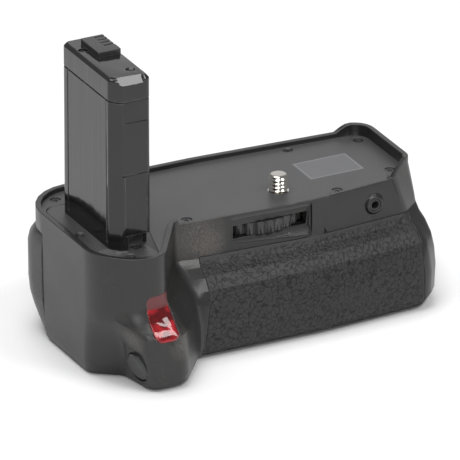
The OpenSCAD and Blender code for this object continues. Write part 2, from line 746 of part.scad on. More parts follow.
// Battery tray: an open drawer for one cell lying flat
tray_wall = 1.2;
cell_play = 0.3;
tray_back = body_back - 6;
tray_lo = [lobe_end + 7.5, tray_back - cell.y - 2 * (tray_wall + cell_play), floor_top + 0.2];
tray_hi = [tray_lo.x + cell.x + 2 * (tray_wall + cell_play), tray_back, tray_lo.z + 1.2 + cell.z];
bay_x = [for (d = [15, 21, 33, 39]) tray_lo.x + d];
bay_z = tray_lo.z + 9;
module battery_tray() {
    color("#222326")
    difference() {
        intersection() {
            box(tray_lo, tray_hi);
            cover_inside(0.1);
        }
        box([tray_lo.x + tray_wall, tray_lo.y + tray_wall, tray_lo.z + 1],
            [tray_hi.x - tray_wall, tray_hi.y - tray_wall, tray_hi.z + 1]);
        for (x = bay_x)
            box([x - 1.5, tray_lo.y - 1, bay_z - 2.5], [x + 1.5, tray_lo.y + 3, bay_z + 2.5]);
    }
}
module tray_contacts() {
    color("#b8963e")
    for (x = bay_x)
        box([x - 1.5, tray_lo.y + 0.3, bay_z - 2.5], [x + 1.5, tray_lo.y + tray_wall, bay_z + 2.5]);
}
// Bay that the tray slides in, an upside-down box with a plate across its mouth
bay_t = 1.1;
bay_lo = [tray_lo.x - slide_gap, tray_lo.y - 0.4, floor_top];
bay_hi = [tray_hi.x + slide_gap, tray_back - 3.6, tray_hi.z + 0.4];
plate_y = bay_hi.y;
module battery_bay() {
    color("#26272a")
    difference() {
        intersection() {
            union() {
                box([bay_lo.x - bay_t, bay_lo.y - bay_t, bay_lo.z],
                    [bay_hi.x + bay_t, plate_y, bay_hi.z + bay_t]);
                box([bay_lo.x - bay_t, plate_y - eps, bay_lo.z], [cover_right - 0.6, plate_y + bay_t, -9.2]);
            }
            cover_inside(0.5);
        }
        box([bay_lo.x, bay_lo.y, bay_lo.z - 1], [bay_hi.x, plate_y + 5, bay_hi.z]);
        for (x = bay_x)
            translate([x, bay_lo.y + 1, bay_z]) rotate([90, 0, 0]) cylinder(h = 5, r = 0.9);
    }
}
module bay_contacts() {
    color("#b8963e")
    for (x = bay_x)
        translate([x, tray_lo.y + 0.2, bay_z])
            rotate([90, 0, 0])
                union() {
                    cylinder(h = 3.2, r = 0.85);
                    translate([0, 0, 1.85]) cylinder(h = 0.6, r = 1.6);
                }
}
module tray_cover() {
    color("#2c2d2f")
    difference() {
        union() {
            difference() {
                intersection() {
                    cover_form(cover_depths, 0);
                    cover_zone(0, cover_top);
                }
                difference() {
                    cover_inside(0);
                    box([-90, 0, cover_top - 1.5], [60, 60, 20]);
                }
                box([-body_left + 5, 0, cover_top - 2], [60, body_back - 5, 20]);
            }
            intersection() {
                union() {
                    for (x = [for (d = [9, 29, 49]) tray_lo.x + d])
                        box([x - 3, tray_back, tray_lo.z + 3], [x + 3, 60, tray_hi.z - 2]);
                    at_latch() translate([0, 0, cam_back + 0.2]) cylinder(h = 20, r = latch_r + 1.4);
                }
                cover_form(cover_depths, 0.4);
            }
        }
        at_latch() translate([0, 0, cam_back - 5]) cylinder(h = 60, r = latch_r + run_gap);
        at_latch() translate([0, 0, latch_face - 0.8]) cylinder(h = 60, r = knob_r + 0.4);
    }
}
latch_at = [-6, -25];
latch_r = 2.4;
knob_r = 5.6;
latch_face = body_back + cover_proud - 0.3;
cam_back = body_back - wall - 1.6;
cam_t = 1.8;
cam_l = 10.4;
module at_latch() {
    translate([latch_at.x, 0, latch_at.y])
        rotate([-90, 0, 0])
            children();
}
// Turn knob and cam bar, drawn unlocked
module tray_latch() {
    color("#232426")
    at_latch()
        union() {
            translate([0, 0, cam_back - cam_t]) cylinder(h = latch_face - cam_back + cam_t, r = latch_r);
            translate([0, 0, latch_face - 0.65]) cylinder(h = 1.2, r = knob_r);
            translate([-1.1, -4.6, latch_face + 0.5]) cube([2.2, 9.2, 1.6]);
            translate([-1.8, 0, cam_back - cam_t]) cube([3.6, cam_l, cam_t]);
        }
}

// Base
module tripod_socket() {
    color("#b9bcc0")
    difference() {
        union() {
            translate([0, 0, base]) cylinder(h = 1, r = 6.5);
            translate([0, 0, base]) cylinder(h = 7.5, r = 5.5);
        }
        translate([0, 0, base - 1]) cylinder(h = 8, r = 2.6);
    }
}
module housing_screws() {
    color("#55585c")
    for (p = boss_at)
        translate([p.x, p.y, base + 2.6])
            mirror([0, 0, 1])
                difference() {
                    union() {
                        cylinder(h = 1.4, r = 2.3);
                        translate([0, 0, -9]) cylinder(h = 9.1, r = 1.1);
                    }
                    translate([-1.4, -0.3, 0.8]) cube([2.8, 0.6, 2]);
                    translate([-0.3, -1.4, 0.8]) cube([0.6, 2.8, 2]);
                }
}

upper_housing();
lower_housing();
grip_rubber();
seat_plate();
seat_plate_screws();
seat_label();
tower_base();
tower_base_screws();
tower_shell();
tower_cap();
tower_cap_screws();
tower_contact_block();
tower_contacts();
tower_cable();
camera_screw();
thumb_wheel();
wheel_axle();
jack_bezel();
jack_socket();
main_board();
ir_window();
ir_diode();
front_board();
shutter_button();
button_switch();
switch_plate();
battery_bay();
battery_tray();
tray_cover();
tray_latch();
tray_contacts();
bay_contacts();
tripod_socket();
housing_screws();
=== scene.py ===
import math
import bpy
from mathutils import Matrix, Vector, noise
from mathutils.bvhtree import BVHTree


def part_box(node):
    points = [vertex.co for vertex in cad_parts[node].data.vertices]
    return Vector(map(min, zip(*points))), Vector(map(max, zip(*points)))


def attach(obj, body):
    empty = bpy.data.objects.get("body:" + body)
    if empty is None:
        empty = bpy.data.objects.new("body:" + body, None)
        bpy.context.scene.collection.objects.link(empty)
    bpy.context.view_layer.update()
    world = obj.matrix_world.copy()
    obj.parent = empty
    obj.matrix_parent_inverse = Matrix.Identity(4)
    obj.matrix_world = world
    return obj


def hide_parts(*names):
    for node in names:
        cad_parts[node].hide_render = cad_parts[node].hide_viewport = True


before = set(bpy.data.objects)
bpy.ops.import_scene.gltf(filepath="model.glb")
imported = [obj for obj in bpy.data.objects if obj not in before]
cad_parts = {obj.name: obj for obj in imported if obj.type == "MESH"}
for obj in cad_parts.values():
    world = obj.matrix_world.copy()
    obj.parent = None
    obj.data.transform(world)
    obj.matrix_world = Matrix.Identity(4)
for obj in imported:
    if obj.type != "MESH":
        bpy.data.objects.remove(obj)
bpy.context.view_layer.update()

# Camera, light and floor: a long lens from the front left and above, as the photograph was taken,
# over a white table, with one broad soft lamp overhead and softer ones at the sides.
floor_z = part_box("lower_housing")[0].z
azimuth = math.radians(27.0)
elevation = math.radians(24.5)
away = Vector((-math.sin(azimuth) * math.cos(elevation), -math.cos(azimuth) * math.cos(elevation),
               math.sin(elevation)))
aim = Vector((-0.0161, 0.0022, -0.0117))
distance = 3.5
photo_width = 460.0
photo_per_mm = 3.15
bpy.ops.object.camera_add(location=aim + away * distance)
camera = bpy.context.object
camera.rotation_euler = away.to_track_quat("Z", "Y").to_euler()
camera.data.sensor_width = 36.0
camera.data.lens = camera.data.sensor_width * photo_per_mm * distance * 1000.0 / photo_width
camera.data.clip_start = 0.05
bpy.context.scene.camera = camera

bpy.ops.mesh.primitive_plane_add(size=8.0, location=(0.0, 0.0, floor_z))
floor = bpy.context.object
floor.name = "floor"
table_white = bpy.data.materials.new("table_white")
table_white.use_nodes = True
table_shader = table_white.node_tree.nodes["Principled BSDF"]
table_shader.inputs["Base Color"].default_value = (0.84, 0.84, 0.84, 1.0)
table_shader.inputs["Roughness"].default_value = 0.7
floor.data.materials.append(table_white)

studio = bpy.data.worlds.new("studio")
studio.use_nodes = True
studio_sky = studio.node_tree.nodes["Background"]
studio_sky.inputs["Color"].default_value = (1.0, 1.0, 1.0, 1.0)
studio_sky.inputs["Strength"].default_value = 0.30
bpy.context.scene.world = studio
bpy.context.scene.view_settings.view_transform = "Standard"


def lamp(name, place, size, power):
    bpy.ops.object.light_add(type="AREA", location=place)
    light = bpy.context.object
    light.name = name
    light.data.shape = "RECTANGLE"
    light.data.size, light.data.size_y = size
    light.data.energy = power
    light.rotation_euler = (Vector(place) - aim).to_track_quat("Z", "Y").to_euler()


lamp("lamp_over", (-0.20, 0.05, 1.1), (0.9, 0.7), 11.0)
lamp("lamp_left", (-0.60, -1.10, 0.55), (0.4, 0.7), 5.0)
lamp("lamp_front", (0.48, -0.72, 1.10), (0.5, 0.5), 6.5)
lamp("lamp_back", (0.75, 1.35, 0.75), (1.2, 1.0), 2.6)


# Lower housing: the base, back and far end in one moulding of black plastic, with a ledge that backs
# the rubber. Its outside has the fine spark texture of the mould, a little polished on the edges, which are
# painted lighter: partly wear, partly a painted highlight.
def cut(piece, tool, kind):
    bpy.ops.object.select_all(action="DESELECT")
    piece.select_set(True)
    bpy.context.view_layer.objects.active = piece
    join = piece.modifiers.new("join", "BOOLEAN")
    join.operation = kind
    join.solver = "EXACT"
    join.object = tool
    bpy.ops.object.modifier_apply(modifier="join")
    bpy.data.objects.remove(tool, do_unlink=True)


def mark_edges(mesh, width, angle, strays, stray_reach):
    # Only edges with room for the rounding beside them are marked, so that corners seldom fold over
    shared_room = 0.45
    open_room = 0.7
    sides = {}
    for face in mesh.polygons:
        for key in face.edge_keys:
            sides.setdefault(key, []).append(face)
    lengths = {key: (mesh.vertices[key[0]].co - mesh.vertices[key[1]].co).length for key in sides}
    least = math.cos(math.radians(angle))
    marked = {key for key, faces in sides.items()
              if len(faces) == 2 and faces[0].normal.dot(faces[1].normal) < least}
    for stray in strays:
        for key in list(marked):
            start, end = mesh.vertices[key[0]].co, mesh.vertices[key[1]].co
            part = (stray - start).dot(end - start) / max((end - start).length_squared, 1e-14)
            if (start + (end - start) * min(1.0, max(0.0, part)) - stray).length < stray_reach:
                marked.discard(key)
    nearby = {}
    for key in marked:
        rows = []
        for face in sides[key]:
            for corner in key:
                for other in face.edge_keys:
                    if other != key and corner in other:
                        along = mesh.vertices[sum(key) - corner].co - mesh.vertices[corner].co
                        across = mesh.vertices[sum(other) - corner].co - mesh.vertices[corner].co
                        rows.append((other, max(along.angle(across, 0.0), 0.001)))
        nearby[key] = rows
    crowded = marked
    while crowded:
        crowded = set()
        for key in marked:
            for other, turn in nearby[key]:
                if other in marked:
                    reach = width / math.tan(turn / 2.0)
                    room = shared_room * min(lengths[key], lengths[other])
                else:
                    reach = width / max(math.sin(turn), 0.001)
                    room = open_room * lengths[other]
                if reach > room:
                    crowded.add(key)
        marked = marked - crowded
    weights = mesh.attributes.new("bevel_weight_edge", "FLOAT", "EDGE")
    for line in mesh.edges:
        weights.data[line.index].value = 1.0 if tuple(sorted(line.vertices)) in marked else 0.0


def round_edges(piece, width, angle, segments):
    # A rounding that strays from the surface or folds over is undone, and done again without its edges
    tries = 7
    first_reach = 0.0008
    stray_limit = 0.55 * width
    folded = -0.3
    plain = piece.data.copy()
    shell = BVHTree.FromPolygons([v.co for v in plain.vertices],
                                 [tuple(f.vertices) for f in plain.polygons])
    strays = []
    for attempt in range(1, tries + 1):
        mark_edges(piece.data, width, angle, strays, first_reach * attempt)
        bevel = piece.modifiers.new("edge", "BEVEL")
        bevel.width = width
        bevel.segments = segments
        bevel.limit_method = "WEIGHT"
        bevel.use_clamp_overlap = False
        bpy.ops.object.modifier_apply(modifier="edge")
        points = [v.co.copy() for v in piece.data.vertices]
        found = [point for point in points if shell.find_nearest(point)[3] > stray_limit]
        for face in piece.data.polygons:
            facing = face.normal.dot(shell.find_nearest(face.center)[1])
            if len(face.vertices) < 5 and facing < folded:
                ends = min(face.edge_keys, key=lambda k: (points[k[0]] - points[k[1]]).length)
                found.append((points[ends[0]] + points[ends[1]]) / 2.0)
        if not found or attempt == tries:
            break
        strays += found
        spoiled = piece.data
        piece.data = plain.copy()
        bpy.data.meshes.remove(spoiled)
    bpy.data.meshes.remove(plain)


def refined(node, body, edge, angle=34.0, segments=2, smooth=38.0, cuts=(), flat=False):
    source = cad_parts[node]
    piece = bpy.data.objects.new(node + "_made", source.data.copy())
    bpy.context.scene.collection.objects.link(piece)
    bpy.ops.object.select_all(action="DESELECT")
    piece.select_set(True)
    bpy.context.view_layer.objects.active = piece
    bpy.ops.object.mode_set(mode="EDIT")
    bpy.ops.mesh.select_all(action="SELECT")
    bpy.ops.mesh.remove_doubles(threshold=0.000002)
    if flat:
        bpy.ops.mesh.dissolve_limited(angle_limit=math.radians(0.2))
    bpy.ops.object.mode_set(mode="OBJECT")
    for tool in cuts:
        cut(piece, tool, "DIFFERENCE")
    if edge > 0.0:
        round_edges(piece, edge, angle, segments)
    bpy.ops.object.shade_smooth_by_angle(angle=math.radians(smooth))
    even = piece.modifiers.new("even", "WEIGHTED_NORMAL")
    even.keep_sharp = True
    even.weight = 60
    bpy.ops.object.modifier_apply(modifier="even")
    piece.data.materials.clear()
    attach(piece, body)
    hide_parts(node)
    return piece


def effect(name, inputs, outputs):
    group = bpy.data.node_groups.new(name, "ShaderNodeTree")
    for label, value in inputs:
        socket = group.interface.new_socket(label, in_out="INPUT", socket_type="NodeSocketFloat")
        socket.default_value = value
    for label in outputs:
        group.interface.new_socket(label, in_out="OUTPUT", socket_type="NodeSocketFloat")
    start = group.nodes.new("NodeGroupInput")
    end = group.nodes.new("NodeGroupOutput")
    return group, start, end


def sums(tree, kind, a, b):
    node = tree.nodes.new("ShaderNodeMath")
    node.operation = kind
    for socket, value in zip(node.inputs, (a, b)):
        if isinstance(value, (int, float)):
            socket.default_value = value
        else:
            tree.links.new(value, socket)
    return node.outputs[0]


def spread(tree, value, low, high, to_low=0.0, to_high=1.0):
    node = tree.nodes.new("ShaderNodeMapRange")
    tree.links.new(value, node.inputs["Value"])
    node.inputs["From Min"].default_value = low
    node.inputs["From Max"].default_value = high
    node.inputs["To Min"].default_value = to_low
    node.inputs["To Max"].default_value = to_high
    return node.outputs["Result"]


def cloud(tree, place, scale, detail=2.0):
    node = tree.nodes.new("ShaderNodeTexNoise")
    tree.links.new(place, node.inputs["Vector"])
    if isinstance(scale, (int, float)):
        node.inputs["Scale"].default_value = scale
    else:
        tree.links.new(scale, node.inputs["Scale"])
    node.inputs["Detail"].default_value = detail
    return node.outputs["Fac"]


mould_grain, grain_in, grain_out = effect("mould_grain", [("Size", 0.0004)], ["Height", "Tone"])
grain_place = mould_grain.nodes.new("ShaderNodeTexCoord").outputs["Object"]
grain_fine = cloud(mould_grain, grain_place, sums(mould_grain, "DIVIDE", 1.0, grain_in.outputs["Size"]))
grain_wide = cloud(mould_grain, grain_place, sums(mould_grain, "DIVIDE", 0.31, grain_in.outputs["Size"]))
grain_sum = sums(mould_grain, "ADD", sums(mould_grain, "MULTIPLY", grain_fine, 0.7),
                 sums(mould_grain, "MULTIPLY", grain_wide, 0.3))
mould_grain.links.new(grain_sum, grain_out.inputs["Height"])
grain_patch = cloud(mould_grain, grain_place, 70.0, 3.0)
grain_tone = sums(mould_grain, "ADD", spread(mould_grain, grain_patch, 0.3, 0.7, 0.0, 0.5),
                  spread(mould_grain, grain_fine, 0.3, 0.7, 0.0, 0.5))
mould_grain.links.new(grain_tone, grain_out.inputs["Tone"])

# Edges are painted lighter and made glossier: partly rubbed wear, partly a painted highlight along the edges.
edge_wear_and_highlight, edge_wear_highlight_in, edge_wear_highlight_out = effect("edge_wear_and_highlight", [("Width", 0.0004)], ["Mask"])
edge_round = edge_wear_and_highlight.nodes.new("ShaderNodeBevel")
edge_round.samples = 4
edge_wear_and_highlight.links.new(edge_wear_highlight_in.outputs["Width"], edge_round.inputs["Radius"])
edge_dot = edge_wear_and_highlight.nodes.new("ShaderNodeVectorMath")
edge_dot.operation = "DOT_PRODUCT"
edge_wear_and_highlight.links.new(edge_round.outputs["Normal"], edge_dot.inputs[0])
edge_wear_and_highlight.links.new(edge_wear_and_highlight.nodes.new("ShaderNodeNewGeometry").outputs["Normal"], edge_dot.inputs[1])
edge_place = edge_wear_and_highlight.nodes.new("ShaderNodeTexCoord").outputs["Object"]
edge_broken = spread(edge_wear_and_highlight, cloud(edge_wear_and_highlight, edge_place, 420.0, 4.0), 0.35, 0.65, 0.35, 1.0)
edge_turn = spread(edge_wear_and_highlight, edge_dot.outputs["Value"], 0.985, 0.86)
edge_wear_highlight_mask = sums(edge_wear_and_highlight, "MULTIPLY", edge_turn, edge_broken)
edge_wear_and_highlight.links.new(edge_wear_highlight_mask, edge_wear_highlight_out.inputs["Mask"])

fine_dust, dust_in, dust_out = effect("fine_dust", [("Amount", 0.3)], ["Mask"])
dust_place = fine_dust.nodes.new("ShaderNodeTexCoord").outputs["Object"]
dust_cell = fine_dust.nodes.new("ShaderNodeTexVoronoi")
dust_cell.inputs["Scale"].default_value = 900.0
fine_dust.links.new(dust_place, dust_cell.inputs["Vector"])
dust_speck = spread(fine_dust, dust_cell.outputs["Distance"], 0.22, 0.12)
dust_drift = spread(fine_dust, cloud(fine_dust, dust_place, 95.0, 3.0), 0.52, 0.72)
dust_fall = sums(fine_dust, "MULTIPLY", dust_speck, dust_drift)
dust_mask = sums(fine_dust, "MULTIPLY", dust_fall, dust_in.outputs["Amount"])
fine_dust.links.new(dust_mask, dust_out.inputs["Mask"])

scuffed, scuff_in, scuff_out = effect("scuffed", [("X", 0.0), ("Y", 0.0), ("Z", 0.0), ("Reach", 0.01)],
                                      ["Mask"])
scuff_place = scuffed.nodes.new("ShaderNodeTexCoord").outputs["Object"]
scuff_at = scuffed.nodes.new("ShaderNodeCombineXYZ")
for scuff_axis in "XYZ":
    scuffed.links.new(scuff_in.outputs[scuff_axis], scuff_at.inputs[scuff_axis])
scuff_off = scuffed.nodes.new("ShaderNodeVectorMath")
scuff_off.operation = "DISTANCE"
scuffed.links.new(scuff_place, scuff_off.inputs[0])
scuffed.links.new(scuff_at.outputs[0], scuff_off.inputs[1])
scuff_share = sums(scuffed, "DIVIDE", scuff_off.outputs["Value"], scuff_in.outputs["Reach"])
scuff_fade = spread(scuffed, scuff_share, 1.0, 0.35)
scuff_patch = spread(scuffed, cloud(scuffed, scuff_place, 2200.0, 4.0), 0.30, 0.72)
scuffed.links.new(sums(scuffed, "MULTIPLY", scuff_fade, scuff_patch), scuff_out.inputs["Mask"])


def placed(tree, group, **values):
    node = tree.nodes.new("ShaderNodeGroup")
    node.node_tree = group
    for label, value in values.items():
        node.inputs[label].default_value = value
    return node


def mixed(tree, factor, a, b):
    node = tree.nodes.new("ShaderNodeMix")
    node.data_type = "RGBA"
    tree.links.new(factor, node.inputs[0])
    for socket, value in zip((node.inputs[6], node.inputs[7]), (a, b)):
        if isinstance(value, tuple):
            socket.default_value = (*value, 1.0)
        else:
            tree.links.new(value, socket)
    return node.outputs[2]


dust_colour = (0.30, 0.27, 0.23)
scuff_colour = (0.098, 0.086, 0.077)


def finish(name, dark, light, rough, size, depth, edge_wear_highlight=None, edge_wear_highlight_width=0.0004, dust=0.0, metallic=0.0,
           scuffs=()):
    material = bpy.data.materials.new(name)
    material.use_nodes = True
    tree = material.node_tree
    shader = tree.nodes["Principled BSDF"]
    shader.inputs["Metallic"].default_value = metallic
    grain = placed(tree, mould_grain, Size=size)
    colour = mixed(tree, grain.outputs["Tone"], dark, light)
    gloss = spread(tree, grain.outputs["Tone"], 0.2, 0.8, rough[0], rough[1])
    # A lighter colour on the edges: partly wear, partly a painted highlight.
    if edge_wear_highlight:
        edge = placed(tree, edge_wear_and_highlight, Width=edge_wear_highlight_width)
        colour = mixed(tree, edge.outputs["Mask"], colour, edge_wear_highlight)
        polish = sums(tree, "MULTIPLY", edge.outputs["Mask"], rough[0] * 0.3)
        gloss = sums(tree, "SUBTRACT", gloss, polish)
    if dust > 0.0:
        drift = placed(tree, fine_dust, Amount=dust)
        colour = mixed(tree, drift.outputs["Mask"], colour, dust_colour)
    for x, y, z, reach in scuffs:
        worn = placed(tree, scuffed, X=x, Y=y, Z=z, Reach=reach)
        colour = mixed(tree, worn.outputs["Mask"], colour, scuff_colour)
    tree.links.new(colour, shader.inputs["Base Color"])
    tree.links.new(gloss, shader.inputs["Roughness"])
    bump = tree.nodes.new("ShaderNodeBump")
    bump.inputs["Distance"].default_value = depth
    tree.links.new(grain.outputs["Height"], bump.inputs["Height"])
    tree.links.new(bump.outputs["Normal"], shader.inputs["Normal"])
    return material


spark_black = finish("spark_black", (0.010, 0.010, 0.0104), (0.019, 0.0187, 0.0187), (0.29, 0.40), 0.00030,
                     0.00005, edge_wear_highlight=(0.06, 0.06, 0.06), dust=0.22)
lower_housing = refined("lower_housing", "grip", 0.00022)
lower_housing.data.materials.append(spark_black)

# Tripod bush: a turned and nickel-plated brass bush pressed into the base, with a quarter inch thread
# of 20 turns to the inch cut through it.
thread_pitch = 0.00127
thread_crest = 0.00316
thread_smooth = math.radians(30.0)


def thread_rod(name, root, crest, low, high):
    bpy.ops.object.select_all(action="DESELECT")
    start = (root, 0.0, low - thread_pitch)
    bpy.ops.mesh.primitive_plane_add(size=thread_pitch / math.sqrt(2.0), location=start,
                                     rotation=(math.radians(90.0), math.radians(45.0), 0.0))
    rod = bpy.context.object
    rod.name = name
    bpy.ops.object.transform_apply(location=True, rotation=True, scale=True)
    inner = min(range(4), key=lambda i: rod.data.vertices[i].co.x)
    bpy.ops.object.mode_set(mode="EDIT")
    bpy.ops.mesh.select_mode(type="VERT")
    bpy.ops.mesh.select_all(action="DESELECT")
    bpy.ops.object.mode_set(mode="OBJECT")
    rod.data.vertices[inner].select = True
    bpy.ops.object.mode_set(mode="EDIT")
    bpy.ops.mesh.delete(type="VERT")
    bpy.ops.mesh.select_all(action="SELECT")
    bpy.ops.transform.resize(value=((crest - root) / (thread_pitch / 2.0), 1.0, 1.0), center_override=start)
    bpy.ops.object.mode_set(mode="OBJECT")
    turns = rod.modifiers.new("turns", "SCREW")
    turns.axis = "Z"
    turns.angle = math.tau
    turns.screw_offset = thread_pitch
    turns.iterations = int((high - low) / thread_pitch) + 4
    turns.steps = 40
    turns.render_steps = 40
    turns.use_merge_vertices = False
    bpy.ops.object.modifier_apply(modifier="turns")
    bpy.ops.object.mode_set(mode="EDIT")
    bpy.ops.mesh.select_all(action="SELECT")
    bpy.ops.mesh.remove_doubles(threshold=0.000004)
    for level, above in ((low, False), (high, True)):
        bpy.ops.mesh.select_all(action="SELECT")
        bpy.ops.mesh.bisect(plane_co=(0.0, 0.0, level), plane_no=(0.0, 0.0, 1.0), use_fill=True,
                            clear_inner=not above, clear_outer=above)
    bpy.ops.mesh.select_all(action="SELECT")
    bpy.ops.mesh.normals_make_consistent(inside=False)
    bpy.ops.object.mode_set(mode="OBJECT")
    return rod


bush_low, bush_high = (corner.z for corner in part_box("tripod_socket"))
tripod_bush = refined("tripod_socket", "grip", 0.0)
bush_tap = thread_rod("bush_tap", 0.00255, thread_crest, bush_low - 0.0005, bush_high - 0.0006)
cut(tripod_bush, bush_tap, "DIFFERENCE")
bpy.ops.mesh.customdata_custom_splitnormals_clear()
bpy.ops.object.shade_smooth_by_angle(angle=thread_smooth)
bush_nickel = finish("bush_nickel", (0.42, 0.41, 0.38), (0.58, 0.57, 0.54), (0.24, 0.38), 0.0005, 0.000004,
                     edge_wear_highlight=(0.75, 0.74, 0.70), metallic=1.0)
tripod_bush.data.materials.append(bush_nickel)

# Battery bay and its spring contacts: a thin black moulding, open at the back, that guides the tray,
# with four gold-plated pins pushed through its front wall.
satin_black = finish("satin_black", (0.022, 0.022, 0.023), (0.032, 0.032, 0.033), (0.34, 0.46), 0.0005,
                     0.00002, edge_wear_highlight=(0.06, 0.06, 0.06))
battery_bay = refined("battery_bay", "grip", 0.0002)
battery_bay.data.materials.append(satin_black)
gold_plate = finish("gold_plate", (0.72, 0.50, 0.20), (0.86, 0.64, 0.30), (0.20, 0.34), 0.0004, 0.000003,
                    edge_wear_highlight=(0.95, 0.78, 0.45), metallic=1.0)
bay_contacts = refined("bay_contacts", "grip", 0.00015)
bay_contacts.data.materials.append(gold_plate)

# Battery tray: a drawer for one flat cell, moulded in the same black plastic, with gold-plated strips
# let into its front wall. The tray cover is its outside, with the same texture as the housings.
battery_tray = refined("battery_tray", "tray", 0.0002)
battery_tray.data.materials.append(satin_black)
tray_contacts = refined("tray_contacts", "tray", 0.00012)
tray_contacts.data.materials.append(gold_plate)
tray_cover = refined("tray_cover", "tray", 0.0004, segments=3)
tray_cover.data.materials.append(spark_black)

# Tray latch: a turn knob with a thumb bar outside and a cam inside, one moulding, turned a quarter to
# hold the tray in.
tray_latch = refined("tray_latch", "latch", 0.0003, segments=3)
tray_latch.data.materials.append(satin_black)

# Boards: glass-fibre laminate with green solder mask over etched copper tracks. The main board hangs
# from the seat plate, and small ones carry the diode and the button's switch.
board_green = bpy.data.materials.new("board_green")
board_green.use_nodes = True
board_tree = board_green.node_tree
board_shader = board_tree.nodes["Principled BSDF"]
board_shader.inputs["Roughness"].default_value = 0.32
board_place = board_tree.nodes.new("ShaderNodeTexCoord").outputs["Object"]
board_track = board_tree.nodes.new("ShaderNodeTexBrick")
board_track.inputs["Scale"].default_value = 260.0
board_track.inputs["Mortar Size"].default_value = 0.06
board_track.inputs["Brick Width"].default_value = 0.9
board_track.inputs["Row Height"].default_value = 0.32
board_tree.links.new(board_place, board_track.inputs["Vector"])
board_mask = spread(board_tree, board_track.outputs["Fac"], 0.2, 0.8)
board_base = mixed(board_tree, placed(board_tree, mould_grain, Size=0.0012).outputs["Tone"],
                   (0.012, 0.075, 0.032), (0.020, 0.105, 0.045))
board_colour = mixed(board_tree, board_mask, board_base, (0.06, 0.20, 0.09))
board_tree.links.new(board_colour, board_shader.inputs["Base Color"])
board_bump = board_tree.nodes.new("ShaderNodeBump")
board_bump.inputs["Distance"].default_value = 0.00003
board_tree.links.new(board_mask, board_bump.inputs["Height"])
board_tree.links.new(board_bump.outputs["Normal"], board_shader.inputs["Normal"])
for board in ("main_board", "front_board", "switch_plate"):
    refined(board, "grip", 0.0001, segments=1).data.materials.append(board_green)

# Flat cable: a strip of amber polyimide film, from the contact block down through the tower and along
# to the main board.
amber_film = finish("amber_film", (0.30, 0.11, 0.02), (0.42, 0.17, 0.03), (0.25, 0.36), 0.0009, 0.00001)
tower_cable = refined("tower_cable", "grip", 0.0)
tower_cable.data.materials.append(amber_film)

# Remote jack: a black socket body on the main board, behind a small moulded cone set into the front
# face.
jack_socket = refined("jack_socket", "grip", 0.00015)
jack_socket.data.materials.append(satin_black)
jack_bezel = refined("jack_bezel", "grip", 0.0003, segments=3)
jack_bezel.data.materials.append(spark_black)

# Infrared diode: a clear violet epoxy dome on a rim, soldered to the front board behind the window.
violet_epoxy = finish("violet_epoxy", (0.07, 0.05, 0.13), (0.12, 0.09, 0.20), (0.05, 0.12), 0.0015, 0.000004)
violet_epoxy.node_tree.nodes["Principled BSDF"].inputs["Transmission Weight"].default_value = 0.5
ir_diode = refined("ir_diode", "grip", 0.0001)
ir_diode.data.materials.append(violet_epoxy)

# Button switch: a small tactile switch, a steel can with a round plunger, on a plate in the lobe.
plated_steel = finish("plated_steel", (0.34, 0.34, 0.35), (0.48, 0.48, 0.49), (0.26, 0.40), 0.0006, 0.000004,
                      edge_wear_highlight=(0.62, 0.62, 0.63), metallic=1.0)
button_switch = refined("button_switch", "grip", 0.00015)
button_switch.data.materials.append(plated_steel)

# Thumb wheel and its axle: a black acetal wheel with rounded ribs and a moulded gear on top, turning
# on a shouldered steel pin that is staked into the seat plate.
acetal_black = finish("acetal_black", (0.030, 0.030, 0.031), (0.042, 0.042, 0.043), (0.32, 0.44), 0.0006,
                      0.00002, edge_wear_highlight=(0.07, 0.07, 0.07))
thumb_wheel = refined("thumb_wheel", "wheel", 0.0002, angle=40.0)
thumb_wheel.data.materials.append(acetal_black)
wheel_axle = refined("wheel_axle", "grip", 0.0002)
wheel_axle.data.materials.append(plated_steel)

# Camera screw: turned from stainless steel, a quarter inch thread with a rounded tip over a plain
# collar, and the pinion that the wheel drives below the seat.
screw_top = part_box("camera_screw")[1].z
screw_foot = -0.0002
collar_top = -0.00016
tip_round = 0.0012
camera_screw = refined("camera_screw", "screw", 0.00012)
bpy.ops.object.mode_set(mode="EDIT")
bpy.ops.mesh.select_all(action="SELECT")
bpy.ops.mesh.bisect(plane_co=(0.0, 0.0, collar_top), plane_no=(0.0, 0.0, 1.0), use_fill=True, clear_outer=True)
bpy.ops.object.mode_set(mode="OBJECT")
screw_rod = thread_rod("screw_thread", 0.00250, thread_crest, -0.0004, screw_top + 0.0004)
bpy.ops.object.select_all(action="DESELECT")
bpy.ops.mesh.primitive_cylinder_add(vertices=64, radius=0.00317, depth=screw_top - screw_foot,
                                    location=(0.0, 0.0, (screw_top + screw_foot) / 2.0))
screw_blank = bpy.context.object
bpy.ops.object.transform_apply(location=True, rotation=True, scale=True)
bpy.ops.object.mode_set(mode="EDIT")
bpy.ops.mesh.select_mode(type="EDGE")
bpy.ops.mesh.select_all(action="DESELECT")
bpy.ops.object.mode_set(mode="OBJECT")
for rim in screw_blank.data.edges:
    rim.select = all(screw_blank.data.vertices[i].co.z > screw_top - 0.0001 for i in rim.vertices)
bpy.ops.object.mode_set(mode="EDIT")
bpy.ops.mesh.bevel(offset=tip_round, segments=6, affect="EDGES")
bpy.ops.object.mode_set(mode="OBJECT")
cut(screw_rod, screw_blank, "INTERSECT")
bpy.ops.object.select_all(action="DESELECT")
screw_rod.select_set(True)
camera_screw.select_set(True)
bpy.context.view_layer.objects.active = camera_screw
bpy.ops.object.join()
bpy.ops.mesh.customdata_custom_splitnormals_clear()
bpy.ops.object.shade_smooth_by_angle(angle=thread_smooth)
turned_steel = finish("turned_steel", (0.42, 0.40, 0.37), (0.54, 0.52, 0.49), (0.12, 0.22), 0.0004, 0.000003,
                      edge_wear_highlight=(0.74, 0.72, 0.69), edge_wear_highlight_width=0.0002, metallic=1.0)
camera_screw.data.materials.append(turned_steel)

